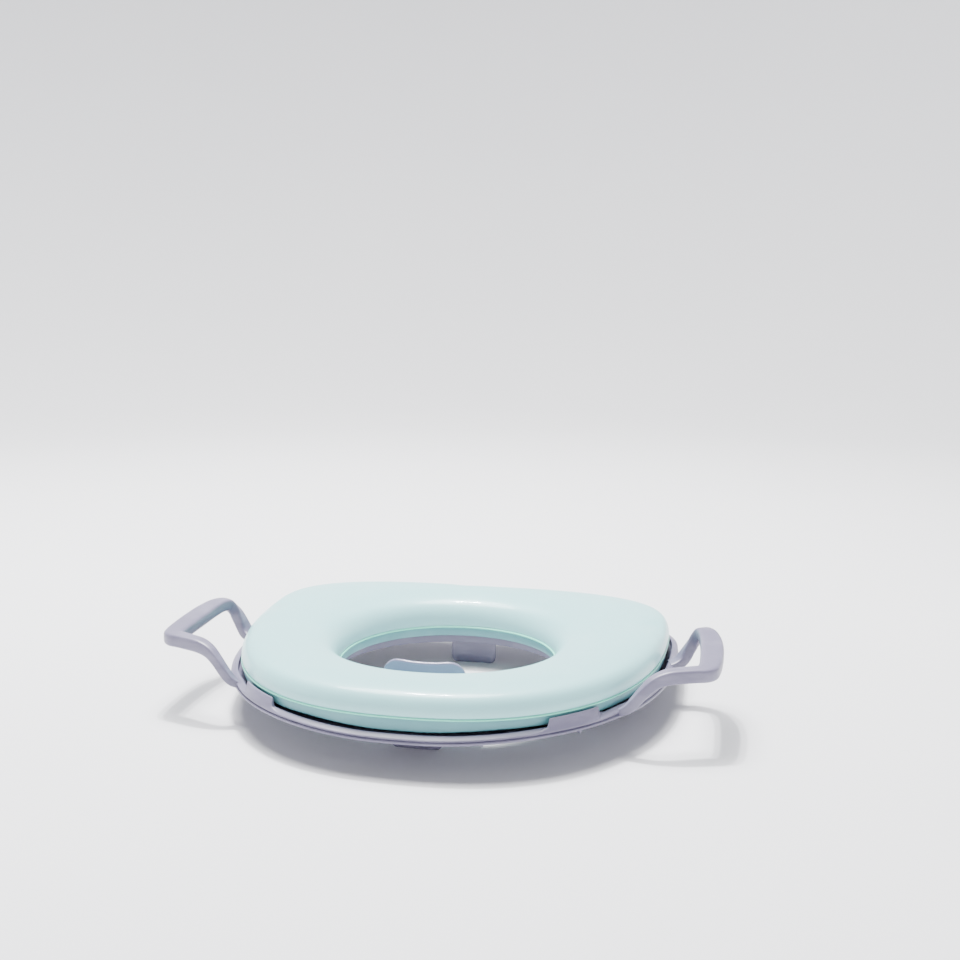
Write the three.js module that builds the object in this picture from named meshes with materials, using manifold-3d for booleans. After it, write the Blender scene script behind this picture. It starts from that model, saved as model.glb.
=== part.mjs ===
// Toddler seat for a full-size toilet: a padded ring that lifts off a plastic base with two
// side handles, a plug-in splash guard, locating lugs and anti-slip pads.
// Millimetres, +Z up, -Y is the front, the ring's middle is on the Z axis, lug tips at z = 0.
import * as THREE from 'three';
import { mergeVertices } from 'three/addons/utils/BufferGeometryUtils.js';
import Module from 'manifold-3d';

// Driving sizes.
const seatWidth = 270;
const seatDepth = 249;
const widestY = 49;
const frontRoundness = 2.36;
const backRoundness = 2.95;
const holeWidth = 135;
const holeDepth = 141;
const holeCentreY = -0.5;
const holeFrontRoundness = 2.2;
const holeBackRoundness = 2.06;
const lugDrop = 15;
const baseHeight = 6.8;
const lipHeight = 8;
const crownHeight = 15;
const skinThickness = 2;
const wallThickness = 2.2;
const assemblyGap = 0.3;
const lipGap = 0.8;
const rimRise = 1;
const rimLift = 2.4;
const lipLift = 1.9;
const sideGap = 1.4;
const tabHeight = 4.8;
const guardThickness = 2.6;
const guardTopWidth = 31;
const guardWidth = 50;
const guardProud = -0.7;
const handleReach = 30;
const handleRise = 23;
const gripWidth = 14;
const gripThickness = 7.2;
const strapWidth = 8.5;
const lugWidth = 30;
const lugThickness = 3;
const padRadius = 8.5;
const padProud = 3.8;
const pegRadius = 3.6;
const segments = 56;

// Levels that follow from the driving sizes.
const collarBottomZ = lugDrop;
const rimBottomZ = lugDrop + 4.6;
const floorBottomZ = rimBottomZ - 0.2;
const floorTopZ = collarBottomZ + baseHeight;
const lipBottomZ = floorTopZ + 2.9;
const seamZ = lipBottomZ + lipHeight;
const innerDrop = 4.6;
const innerLipDrop = 2.9;
const crownZ = seamZ + crownHeight;
const padBottomZ = rimBottomZ - padProud;
const collarOffset = 7.6;
const collarThickness = 3;
const weltHeight = 1.2;
const lugNear = collarOffset + collarThickness + assemblyGap + 0.4;

const wasm = await Module();
wasm.setup();

// Egg-shaped outline: one half-ellipse exponent for the front and one for the back.
function outlinePoint(angle, halfWidth, frontLength, backLength, frontExp, backExp, centreY) {
  const c = Math.cos(angle);
  const s = Math.sin(angle);
  const exponent = s < 0 ? frontExp : backExp;
  const length = s < 0 ? frontLength : backLength;
  const x = halfWidth * Math.sign(c) * Math.pow(Math.abs(c), 2 / exponent);
  const y = centreY + length * Math.sign(s) * Math.pow(Math.abs(s), 2 / exponent);
  return new THREE.Vector2(x, y);
}

// Evenly spaced points along an outline, starting at the front centre and turning to +X.
function evenOutline(shape, count) {
  const fine = [];
  const steps = 2880;
  for (let k = 0; k <= steps; k += 1) {
    const angle = -Math.PI / 2 + (2 * Math.PI * k) / steps;
    fine.push(outlinePoint(angle, ...shape));
  }
  const length = [0];
  for (let k = 1; k <= steps; k += 1) {
    length.push(length[k - 1] + fine[k].distanceTo(fine[k - 1]));
  }
  const points = [];
  let k = 0;
  for (let i = 0; i < count; i += 1) {
    const target = (length[steps] * i) / count;
    while (length[k + 1] < target) {
      k += 1;
    }
    const part = (target - length[k]) / (length[k + 1] - length[k]);
    points.push(fine[k].clone().lerp(fine[k + 1], part));
  }
  return points;
}

const outerOutline = evenOutline(
  [seatWidth / 2, seatDepth / 2 + widestY, seatDepth / 2 - widestY, frontRoundness, backRoundness, widestY],
  segments,
);
const holeOutline = evenOutline(
  [holeWidth / 2, holeDepth / 2, holeDepth / 2, holeFrontRoundness, holeBackRoundness, holeCentreY],
  segments,
);

// A place on the ring: index around it, then millimetres in from the outer seam ("out"),
// millimetres outward from the hole ("hole"), or a share of the band's width ("mid").
function station(i, from, amount) {
  const o = outerOutline[i];
  const h = holeOutline[i];
  const across = h.clone().sub(o);
  const width = across.length();
  across.normalize();
  if (from === 'out') {
    return o.clone().addScaledVector(across, amount);
  }
  if (from === 'hole') {
    return h.clone().addScaledVector(across, -amount);
  }
  return o.clone().addScaledVector(across, amount * width);
}

// Middle of the clear floor between the lugs and the rim, where pegs and pads sit.
function floorMiddle(i) {
  const width = outerOutline[i].distanceTo(holeOutline[i]);
  return station(i, 'hole', (lugNear + lugThickness + width - 3) / 2);
}

function meshVolume(positions, index) {
  let volume = 0;
  const a = new THREE.Vector3();
  const b = new THREE.Vector3();
  const c = new THREE.Vector3();
  for (let k = 0; k < index.length; k += 3) {
    a.fromArray(positions, index[k] * 3);
    b.fromArray(positions, index[k + 1] * 3);
    c.fromArray(positions, index[k + 2] * 3);
    volume += a.dot(b.cross(c)) / 6;
  }
  return volume;
}

function closedGeometry(positions, index) {
  if (meshVolume(positions, index) < 0) {
    for (let k = 0; k < index.length; k += 3) {
      const keep = index[k];
      index[k] = index[k + 1];
      index[k + 1] = keep;
    }
  }
  const geometry = new THREE.BufferGeometry();
  geometry.setAttribute('position', new THREE.Float32BufferAttribute(positions, 3));
  geometry.setIndex(index);
  return geometry;
}

// A ring-shaped solid from a closed cross-section; height may change around the ring.
function ringSolid(section) {
  const positions = [];
  const index = [];
  const rows = section.length;
  for (let i = 0; i < segments; i += 1) {
    section.forEach(([from, amount, z]) => {
      const wide = station(i, from, typeof amount === 'function' ? amount(outerOutline[i].y) : amount);
      positions.push(wide.x, wide.y, typeof z === 'function' ? z(wide) : z);
    });
  }
  for (let i = 0; i < segments; i += 1) {
    const j = (i + 1) % segments;
    for (let r = 0; r < rows; r += 1) {
      const s = (r + 1) % rows;
      index.push(i * rows + r, j * rows + r, j * rows + s);
      index.push(i * rows + r, j * rows + s, i * rows + s);
    }
  }
  return closedGeometry(positions, index);
}

// A solid tube of changing section along a smooth line of {at, width, height} stations.
function strapSolid(stations, rings) {
  const path = new THREE.CatmullRomCurve3(stations.map((s) => new THREE.Vector3(...s.at)), false, 'centripetal');
  const sides = 12;
  const positions = [];
  const index = [];
  const up = new THREE.Vector3(0, 0, 1);
  for (let k = 0; k <= rings; k += 1) {
    const t = k / rings;
    const f = t * (stations.length - 1);
    const n = Math.min(Math.floor(f), stations.length - 2);
    const part = f - n;
    const ease = part * part * (3 - 2 * part);
    const width = THREE.MathUtils.lerp(stations[n].width, stations[n + 1].width, ease);
    const height = THREE.MathUtils.lerp(stations[n].height, stations[n + 1].height, ease);
    const centre = path.getPoint(t);
    const heading = path.getTangent(t);
    const side = heading.clone().cross(up).normalize();
    const top = side.clone().cross(heading).normalize();
    for (let a = 0; a < sides; a += 1) {
      const angle = (2 * Math.PI * (a + 0.5)) / sides;
      const c = Math.cos(angle);
      const s = Math.sin(angle);
      const u = (Math.sign(c) * Math.pow(Math.abs(c), 0.62) * width) / 2;
      const v = (Math.sign(s) * Math.pow(Math.abs(s), 0.62) * height) / 2;
      const p = centre.clone().addScaledVector(side, u).addScaledVector(top, v);
      positions.push(p.x, p.y, p.z);
    }
  }
  for (let k = 0; k < rings; k += 1) {
    for (let a = 0; a < sides; a += 1) {
      const b = (a + 1) % sides;
      const low = k * sides;
      const high = low + sides;
      index.push(low + a, low + b, high + b);
      index.push(low + a, high + b, high + a);
    }
  }
  for (let a = 1; a < sides - 1; a += 1) {
    const last = rings * sides;
    index.push(0, a + 1, a);
    index.push(last, last + a, last + a + 1);
  }
  return closedGeometry(positions, index);
}

function toSolid(geometry) {
  const plain = geometry.clone();
  plain.deleteAttribute('normal');
  plain.deleteAttribute('uv');
  const merged = plain.index ? plain : mergeVertices(plain, 1e-4);
  const welded = mergeVertices(merged, 1e-4);
  return new wasm.Manifold(new wasm.Mesh({
    numProp: 3,
    vertProperties: Float32Array.from(welded.attributes.position.array),
    triVerts: Uint32Array.from(welded.index.array),
  }));
}

function fromSolid(solid) {
  const mesh = solid.getMesh();
  const geometry = new THREE.BufferGeometry();
  geometry.setAttribute('position', new THREE.BufferAttribute(Float32Array.from(mesh.vertProperties), 3));
  geometry.setIndex(new THREE.BufferAttribute(Uint32Array.from(mesh.triVerts), 1));
  return geometry;
}

function boxSolid(x0, x1, y0, y1, z0, z1) {
  const geometry = new THREE.BoxGeometry(x1 - x0, y1 - y0, z1 - z0);
  geometry.translate((x0 + x1) / 2, (y0 + y1) / 2, (z0 + z1) / 2);
  return toSolid(geometry);
}

function turnedSolid(profile, x, y, sides) {
  const geometry = new THREE.LatheGeometry(profile.map(([r, z]) => new THREE.Vector2(r, z)), sides);
  geometry.rotateX(Math.PI / 2);
  geometry.translate(x, y, 0);
  const solid = toSolid(geometry);
  if (solid.volume() < 0) {
    throw new Error('turned profile is inside out');
  }
  return solid;
}

// A curved wall that follows the hole, between two offsets and two heights.
function holeWall(nearHole, farFromHole, z0, z1) {
  return toSolid(ringSolid([
    ['hole', nearHole, z0],
    ['hole', farFromHole, z0],
    ['hole', farFromHole, z1],
    ['hole', nearHole, z1],
  ]));
}

function upright(outline, depth, rotation, x, y) {
  const shape = new THREE.Shape(outline.map(([u, z]) => new THREE.Vector2(u, z)));
  const geometry = new THREE.ExtrudeGeometry(shape, { depth, bevelEnabled: false, curveSegments: 1 });
  geometry.translate(0, 0, -depth / 2);
  geometry.rotateX(Math.PI / 2);
  geometry.rotateZ(rotation);
  geometry.translate(x, y, 0);
  return toSolid(geometry);
}

const group = new THREE.Group();

function addPiece(name, geometry, color, roughness) {
  const material = new THREE.MeshStandardMaterial({ color, roughness, metalness: 0 });
  material.name = name;
  const mesh = new THREE.Mesh(geometry, material);
  mesh.name = name;
  group.add(mesh);
}

const mint = 0xd9e8e8;
const mintDark = 0xb4d0d2;
const lilac = 0xb1b3c2;
const charcoal = 0x55565e;
const foam = 0xf2ead2;

const mirrored = (i) => (segments - i) % segments;
const sideIndex = Math.round(segments / 4);
const backIndex = segments / 2;
const pegIndices = [0, 10, 20, backIndex, mirrored(20), mirrored(10)];
const padIndices = [5, 15, 24, mirrored(24), mirrored(15), mirrored(5)];
const ribIndices = [3, 7, 12, 18, 22, 26].flatMap((i) => [i, mirrored(i)]);

// Base: shallow ring tray with a grooved rim that arches up towards the sides and stands
// a little away from the ring there.
const smooth = (a, b, v) => {
  const t = THREE.MathUtils.clamp((v - a) / (b - a), 0, 1);
  return t * t * (3 - 2 * t);
};
const raised = (z, share, lifted = 1) => (p) => (
  z + lifted * rimLift * smooth(10, 95, Math.abs(p.x)) + share * rimRise * smooth(-84, -62, p.y)
);
const apart = (amount) => (y) => amount - sideGap * smooth(-70, -45, y) * (1 - smooth(60, 110, y));
const rimTopZ = floorTopZ + 2.4;
const rimOut = 5.8;
const baseSection = [
  ['out', apart(-lipGap), raised(floorTopZ, 0, 0.8)],
  ['out', apart(-lipGap), raised(rimTopZ - 0.4, 1)],
  ['out', apart(-lipGap - 0.6), raised(rimTopZ, 1)],
  ['out', apart(-lipGap - 1.6), raised(rimTopZ - 0.1, 1)],
  ['out', apart(-rimOut + 0.9), raised(rimTopZ - 1.2, 0.9)],
  ['out', apart(-rimOut + 0.5), raised(rimTopZ - 1.8, 0.8)],
  ['out', apart(-rimOut + 1.4), raised(rimTopZ - 2.2, 0.6)],
  ['out', apart(-rimOut + 1.4), raised(rimTopZ - 2.7, 0.45)],
  ['out', apart(-rimOut + 0.3), raised(rimTopZ - 3.1, 0.3)],
  ['out', apart(-rimOut), raised(rimBottomZ + 0.7, 0)],
  ['out', apart(-rimOut + 0.5), raised(rimBottomZ, 0)],
  ['out', apart(-rimOut + 2.8), raised(rimBottomZ, 0)],
  ['out', -0.8, raised(floorBottomZ, 0, 0.7)],
  ['out', 5, floorBottomZ],
  ['hole', collarOffset + collarThickness + 0.4, floorBottomZ],
  ['hole', collarOffset + collarThickness, collarBottomZ + 0.5],
  ['hole', collarOffset + collarThickness - 0.6, collarBottomZ],
  ['hole', collarOffset + 0.5, collarBottomZ],
  ['hole', collarOffset, collarBottomZ + 0.5],
  ['hole', collarOffset, floorTopZ - 0.9],
  ['hole', collarOffset + 0.9, floorTopZ],
  ['out', 5, floorTopZ],
];
let base = toSolid(ringSolid(baseSection));

// Two raised retaining tabs, one each side of the front, that stand beside the ring's lip.
const tabWall = toSolid(ringSolid([
  ['out', -lipGap - assemblyGap, floorTopZ + 0.4],
  ['out', -lipGap - 3.2, floorTopZ + 0.4],
  ['out', -lipGap - 3, raised(rimTopZ + tabHeight - 0.8, 0)],
  ['out', -lipGap - 2.2, raised(rimTopZ + tabHeight, 0)],
  ['out', -lipGap - assemblyGap, raised(rimTopZ + tabHeight - 0.2, 0)],
]));
[1, -1].forEach((side) => {
  const block = boxSolid(Math.min(79 * side, 104 * side), Math.max(79 * side, 104 * side), -110, -50, 15, 40);
  base = base.add(tabWall.intersect(block));
});

// Ribs and pad sockets under the floor.
ribIndices.forEach((i) => {
  const a = station(i, 'hole', 17);
  const b = station(i, 'out', 3);
  const length = a.distanceTo(b);
  const geometry = new THREE.BoxGeometry(length, 1.6, 2.8);
  geometry.rotateZ(Math.atan2(b.y - a.y, b.x - a.x));
  geometry.translate((a.x + b.x) / 2, (a.y + b.y) / 2, floorBottomZ - 0.9);
  base = base.add(toSolid(geometry));
});
padIndices.forEach((i) => {
  const p = floorMiddle(i);
  const socket = turnedSolid([
    [0, floorBottomZ - 1.6],
    [padRadius + 1.6, floorBottomZ - 1.6],
    [padRadius + 1.8, floorBottomZ + 0.5],
    [0, floorBottomZ + 0.5],
  ], p.x, p.y, 16);
  const pocket = turnedSolid([
    [0, floorBottomZ - 3],
    [padRadius + assemblyGap, floorBottomZ - 3],
    [padRadius + assemblyGap, floorBottomZ],
    [0, floorBottomZ],
  ], p.x, p.y, 16);
  base = base.add(socket).subtract(pocket);
});

// Guard socket: a ledge inside the front of the collar with a slot for the guard's tongue.
const guardInset = 2.6;
const tongueWidth = 34;
const ledgeTopZ = floorTopZ - 1.2;
const ledge = holeWall(-guardInset - guardThickness - 2.6, collarOffset + 1, collarBottomZ + 0.8, ledgeTopZ)
  .intersect(boxSolid(-30, 30, -110, -40, 0, 60));
const guardSlot = holeWall(-guardInset - guardThickness - assemblyGap, -guardInset + assemblyGap, 5, 40)
  .intersect(boxSolid(-tongueWidth / 2 - assemblyGap, tongueWidth / 2 + assemblyGap, -110, -40, 0, 60));
base = base.add(ledge).subtract(guardSlot);

// Holes for the ring's snap pegs.
pegIndices.forEach((i) => {
  const p = floorMiddle(i);
  base = base.subtract(turnedSolid([
    [0, 5],
    [pegRadius + 0.7, 5],
    [pegRadius + 0.7, 40],
    [0, 40],
  ], p.x, p.y, 12));
});
addPiece('base_frame', fromSolid(base), lilac, 0.45);

// Handles: each leaves the rim at the front, arches out to a wide grip and comes back to the rim.
const clearOfRim = apart(-rimOut - assemblyGap);
const rimCrestZ = seamZ + 5;
const keepOff = toSolid(ringSolid([
  ['out', 20, rimBottomZ - 4],
  ['out', clearOfRim, rimBottomZ - 4],
  ['out', clearOfRim, rimBottomZ + 3],
  ['out', clearOfRim, rimCrestZ],
  ['out', 20, rimCrestZ],
]));
const halfSeat = seatWidth / 2;
const gripZ = rimTopZ + handleRise;
const handleStations = [
  { at: [halfSeat - 25, -77, rimTopZ + 1.4], width: 9, height: 6.5 },
  { at: [halfSeat - 19, -71.5, rimTopZ + 1.8], width: 9.5, height: 7 },
  { at: [halfSeat - 12, -67.5, rimTopZ + 5.2], width: strapWidth + 0.5, height: 7.4 },
  { at: [halfSeat - 5, -64.5, gripZ - 9.5], width: strapWidth + 0.5, height: 7.6 },
  { at: [halfSeat + 2.5, -61, gripZ - 3.6], width: strapWidth + 0.5, height: 7.4 },
  { at: [halfSeat + handleReach - 18, -57.5, gripZ - 1.6], width: strapWidth + 1, height: gripThickness },
  { at: [halfSeat + handleReach - 8, -53.5, gripZ - 1], width: gripWidth - 3.4, height: gripThickness },
  { at: [halfSeat + handleReach - 1.8, -44, gripZ - 0.8], width: gripWidth - 2, height: gripThickness },
  { at: [halfSeat + handleReach - 0.6, -28, gripZ - 0.5], width: gripWidth - 0.4, height: gripThickness },
  { at: [halfSeat + handleReach - 1, -10, gripZ], width: gripWidth, height: gripThickness },
  { at: [halfSeat + handleReach - 3.5, 6, gripZ + 1], width: gripWidth - 1, height: gripThickness },
  { at: [halfSeat + handleReach - 7.5, 17, gripZ + 1.6], width: gripWidth - 2.6, height: gripThickness },
  { at: [halfSeat + 18, 25.5, gripZ - 0.4], width: strapWidth + 2, height: gripThickness },
  { at: [halfSeat + 14.6, 27.5, gripZ - 6.5], width: strapWidth + 1.9, height: gripThickness },
  { at: [halfSeat + 11.2, 26, gripZ - 14], width: strapWidth + 1.7, height: gripThickness },
  { at: [halfSeat + 6, 23, rimTopZ + 4.2], width: strapWidth + 1.5, height: 7 },
  { at: [halfSeat - 3, 20, rimTopZ + 1.8], width: strapWidth + 1, height: 6.5 },
];
[['handle_right', 1], ['handle_left', -1]].forEach(([name, side]) => {
  const stations = handleStations.map((s) => ({ ...s, at: [s.at[0] * side, s.at[1], s.at[2]] }));
  const parts = toSolid(strapSolid(stations, 30)).subtract(keepOff).decompose();
  parts.sort((a, b) => b.volume() - a.volume());
  addPiece(name, fromSolid(parts[0]), lilac, 0.45);
});

// Splash guard: a low curved shield at the front of the hole on a tongue.
const guardTopZ = crownZ + guardProud;
const guardOutline = [
  [-tongueWidth / 2, collarBottomZ - 5],
  [tongueWidth / 2, collarBottomZ - 5],
  [tongueWidth / 2, ledgeTopZ + assemblyGap],
  [guardWidth / 2 + 1.5, ledgeTopZ + assemblyGap],
  [guardWidth / 2, guardTopZ - 8],
  [guardWidth / 2 - 1.4, guardTopZ - 4.6],
  [guardWidth / 2 - 4.2, guardTopZ - 2],
  [guardTopWidth / 2, guardTopZ],
  [guardTopWidth / 4, guardTopZ - 0.4],
  [0, guardTopZ - 0.6],
  [-guardTopWidth / 4, guardTopZ - 0.4],
  [-guardTopWidth / 2, guardTopZ],
  [-guardWidth / 2 + 4.2, guardTopZ - 2],
  [-guardWidth / 2 + 1.4, guardTopZ - 4.6],
  [-guardWidth / 2, guardTopZ - 8],
  [-guardWidth / 2 - 1.5, ledgeTopZ + assemblyGap],
  [-tongueWidth / 2, ledgeTopZ + assemblyGap],
];
const guard = holeWall(-guardInset - guardThickness, -guardInset, 0, 80)
  .intersect(upright(guardOutline, 60, 0, 0, -70));
addPiece('splash_guard', fromSolid(guard), lilac, 0.4);

// Locating lugs: four rounded tongues that hang from the floor just outside the collar.
const lugTopZ = floorBottomZ - assemblyGap;
const lugOutline = [
  [-lugWidth / 2 + 4, 0],
  [lugWidth / 2 - 4, 0],
  [lugWidth / 2 - 1.2, 1.4],
  [lugWidth / 2, 5],
  [lugWidth / 2, lugTopZ],
  [-lugWidth / 2, lugTopZ],
  [-lugWidth / 2, 5],
  [-lugWidth / 2 + 1.2, 1.4],
];
const lugWall = holeWall(lugNear, lugNear + lugThickness, -2, 40);
[
  ['lug_front', 0, 0],
  ['lug_right', sideIndex, Math.PI / 2],
  ['lug_rear', backIndex, 0],
  ['lug_left', mirrored(sideIndex), Math.PI / 2],
].forEach(([name, i, rotation]) => {
  const p = station(i, 'hole', lugNear);
  const y = i === 0 || i === backIndex ? p.y : holeCentreY;
  addPiece(name, fromSolid(lugWall.intersect(upright(lugOutline, 34, rotation, p.x, y))), lilac, 0.5);
});

// Anti-slip pads, held in the sockets and standing proud of the rim.
padIndices.forEach((i, k) => {
  const p = floorMiddle(i);
  const pad = turnedSolid([
    [0, padBottomZ],
    [padRadius - 1.2, padBottomZ],
    [padRadius - 0.2, padBottomZ + 1],
    [padRadius, floorBottomZ - assemblyGap],
    [0, floorBottomZ - assemblyGap],
  ], p.x, p.y, 16);
  addPiece(`pad_${k + 1}`, fromSolid(pad), charcoal, 0.8);
});

// Ring backing: a stiff tray with the lip band and six snap pegs.
const wallTopZ = seamZ - weltHeight / 2 - assemblyGap;
const backingIn = 0.8;
const lifted = (z) => (p) => z + lipLift * smooth(10, 60, Math.abs(p.x));
let backing = toSolid(ringSolid([
  ['out', backingIn, lifted(lipBottomZ + 0.6)],
  ['out', backingIn, wallTopZ],
  ['out', backingIn + wallThickness, wallTopZ],
  ['out', backingIn + wallThickness, lifted(lipBottomZ + wallThickness)],
  ['hole', backingIn + wallThickness, lipBottomZ - innerLipDrop + wallThickness + 0.4],
  ['hole', backingIn + wallThickness, wallTopZ - innerDrop],
  ['hole', backingIn, wallTopZ - innerDrop],
  ['hole', backingIn, lipBottomZ - innerLipDrop + 0.6],
  ['hole', backingIn + 0.6, lipBottomZ - innerLipDrop],
  ['hole', 12, lipBottomZ - innerLipDrop + 0.6],
  ['out', backingIn + 0.6, lifted(lipBottomZ)],
]));
pegIndices.forEach((i) => {
  const p = floorMiddle(i);
  backing = backing.add(turnedSolid([
    [0, floorBottomZ - 2.6],
    [pegRadius - 0.8, floorBottomZ - 2.6],
    [pegRadius + 0.3, floorBottomZ - 1.2],
    [pegRadius, floorBottomZ - 0.6],
    [pegRadius, lipBottomZ + 0.8],
    [0, lipBottomZ + 0.8],
  ], p.x, p.y, 12));
});
addPiece('cushion_backing', fromSolid(backing), mintDark, 0.45);

// Padding skin: crown from the outer seam over to the inner seam, and its inside face.
const skinBottomZ = seamZ + weltHeight / 2 + assemblyGap;
const skinSection = [
  ['out', 0.3, skinBottomZ],
  ['out', -0.5, seamZ + 0.25 * crownHeight],
  ['out', -0.1, seamZ + 0.5 * crownHeight],
  ['out', 2, seamZ + 0.75 * crownHeight],
  ['out', 5.6, seamZ + 0.91 * crownHeight],
  ['out', 11, crownZ - 0.4],
  ['mid', 0.45, crownZ],
  ['hole', 18, crownZ - 0.3],
  ['hole', 12, crownZ - 1.2],
  ['hole', 7, crownZ - 3.4],
  ['hole', 3.2, crownZ - 7],
  ['hole', 1.2, crownZ - 12],
  ['hole', 0.5, skinBottomZ - innerDrop],
];
const t = skinThickness;
const liningSection = [
  ['hole', 0.5 + t, skinBottomZ - innerDrop],
  ['hole', 1.2 + t, crownZ - 12],
  ['hole', 3.2 + 0.9 * t, crownZ - 7 - 0.6 * t],
  ['hole', 7 + 0.6 * t, crownZ - 3.4 - 0.9 * t],
  ['hole', 12 + 0.3 * t, crownZ - 1.2 - t],
  ['hole', 18, crownZ - 0.3 - t],
  ['mid', 0.45, crownZ - t],
  ['out', 11, crownZ - 0.4 - t],
  ['out', 5.6 + 0.5 * t, seamZ + 0.91 * crownHeight - t],
  ['out', 2 + t, seamZ + 0.75 * crownHeight - 0.6 * t],
  ['out', -0.1 + t, seamZ + 0.5 * crownHeight - 0.2 * t],
  ['out', 0.3 + t, skinBottomZ],
];
addPiece('cushion_skin', ringSolid([...skinSection, ...liningSection]), mint, 0.35);

// Foam core between the backing and the skin.
const f = skinThickness + 0.6;
const foamIn = backingIn + wallThickness + assemblyGap;
addPiece('cushion_foam', ringSolid([
  ['out', foamIn, lifted(lipBottomZ + wallThickness + assemblyGap)],
  ['out', foamIn, seamZ + 0.5 * crownHeight],
  ['out', 2 + f + 0.4, seamZ + 0.75 * crownHeight - 0.8 * f],
  ['out', 5.6 + 0.6 * f, seamZ + 0.91 * crownHeight - 1.15 * f],
  ['out', 12, crownZ - 0.5 - 1.1 * f],
  ['mid', 0.45, crownZ - f],
  ['hole', 19, crownZ - 0.4 - 1.1 * f],
  ['hole', 12 + 0.5 * f, crownZ - 1.2 - 1.2 * f],
  ['hole', 7 + 0.9 * f, crownZ - 3.4 - 1.2 * f],
  ['hole', 3.2 + 1.1 * f, crownZ - 7 - 0.7 * f],
  ['hole', foamIn + 0.6, crownZ - 12],
  ['hole', foamIn, lipBottomZ - innerLipDrop + wallThickness + 0.4 + assemblyGap],
]), foam, 0.95);

// Welts that cover the joint between skin and lip on both walls.
[['seam_outer', 'out', 0], ['seam_inner', 'hole', innerDrop]].forEach(([name, from, drop]) => {
  addPiece(name, ringSolid([
    [from, 1.9, seamZ - drop - weltHeight / 2],
    [from, -0.3, seamZ - drop - weltHeight / 2 + 0.2],
    [from, -0.3, seamZ - drop + weltHeight / 2 - 0.2],
    [from, 1.9, seamZ - drop + weltHeight / 2],
  ]), mint, 0.4);
});

export default group;
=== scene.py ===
import math

import bmesh
import bpy
import numpy as np
from mathutils import Matrix, Vector


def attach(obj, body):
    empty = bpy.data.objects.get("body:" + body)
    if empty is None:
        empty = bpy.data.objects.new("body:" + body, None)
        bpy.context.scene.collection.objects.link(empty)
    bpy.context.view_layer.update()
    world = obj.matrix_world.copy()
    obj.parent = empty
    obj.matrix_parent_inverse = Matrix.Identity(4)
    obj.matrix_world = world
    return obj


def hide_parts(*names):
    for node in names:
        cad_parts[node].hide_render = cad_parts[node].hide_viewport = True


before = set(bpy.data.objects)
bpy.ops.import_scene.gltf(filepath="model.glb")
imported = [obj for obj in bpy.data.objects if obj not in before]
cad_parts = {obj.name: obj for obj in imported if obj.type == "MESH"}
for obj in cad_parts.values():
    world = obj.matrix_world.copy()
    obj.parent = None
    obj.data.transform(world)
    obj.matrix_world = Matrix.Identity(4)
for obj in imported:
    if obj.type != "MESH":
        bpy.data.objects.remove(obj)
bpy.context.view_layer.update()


# Camera. It stands in front of the seat, a little to the sitter's left, and looks down on it
# by ten degrees through a normal lens.
camera_place = Vector((0.17619, -0.79880, 0.28680))
turn, dip, lean = -0.1937, 0.1745, 0.0077
ahead = Vector((math.sin(turn) * math.cos(dip), math.cos(turn) * math.cos(dip), -math.sin(dip)))
level_right = Vector((math.cos(turn), -math.sin(turn), 0))
level_up = level_right.cross(ahead)
camera_right = math.cos(lean) * level_right + math.sin(lean) * level_up
camera_up = math.cos(lean) * level_up - math.sin(lean) * level_right
bpy.ops.object.select_all(action="DESELECT")
bpy.ops.object.camera_add()
camera = bpy.context.object
camera.name = "camera"
camera.data.lens = 50.4
camera.data.sensor_width = 36
axes = Matrix((camera_right, camera_up, -ahead)).transposed().to_4x4()
camera.matrix_world = Matrix.Translation(camera_place) @ axes
bpy.context.scene.camera = camera


# Base: a shallow ring tray moulded in satin lilac polypropylene. Its rim has a sloped top, a
# groove and a lower bead, stands higher along the sides, and has two retaining tabs that rise
# beside the padded ring's lip. Underneath are ribs, pad sockets and a collar round the hole.
MM = 0.001
SEAT_SHAPE = (135, 173.5, 75.5, 2.36, 2.95, 49)
HOLE_SHAPE = (67.5, 70.5, 70.5, 2.2, 2.06, -0.5)
COLUMNS = 224
floor_bottom, floor_top = 19.4, 21.8
collar_bottom = 15
rim_bottom, rim_top = 19.6, 24.2
rim_apart = -1.4
rim_lift, rim_rise, tab_rise, lip_lift = 2.4, 1.0, 4.8, 1.9
tab_from, tab_to = 79, 104
tab_end = 0.75


def outline(turns, half_width, front, back, front_round, back_round, centre):
    """Points of an egg-shaped outline, at shares of its length from the front middle to +X."""
    angle = np.linspace(-0.5 * math.pi, 1.5 * math.pi, 11521)
    c, s = np.cos(angle), np.sin(angle)
    power = np.where(s < 0, 2 / front_round, 2 / back_round)
    x = half_width * np.sign(c) * np.abs(c) ** power
    y = centre + np.where(s < 0, front, back) * np.sign(s) * np.abs(s) ** power
    run = np.concatenate([[0], np.cumsum(np.hypot(np.diff(x), np.diff(y)))])
    at = np.asarray(turns, dtype=float) * run[-1]
    return np.stack([np.interp(at, run, x), np.interp(at, run, y)], axis=-1)


def spots(turns, edge, amount):
    """Places on the ring: millimetres in from the seam, out from the hole, or a share across."""
    seat = outline(turns, *SEAT_SHAPE)
    hole = outline(turns, *HOLE_SHAPE)
    across = hole - seat
    width = np.linalg.norm(across, axis=-1, keepdims=True)
    if edge == "seam":
        return seat + across / width * amount
    if edge == "hole":
        return hole - across / width * amount
    return seat + across * amount


def ease(start, stop, value):
    share = np.clip((value - start) / (stop - start), 0, 1)
    return share * share * (3 - 2 * share)


SHARES = ("apart", "lift", "rise", "tab", "lip")


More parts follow.
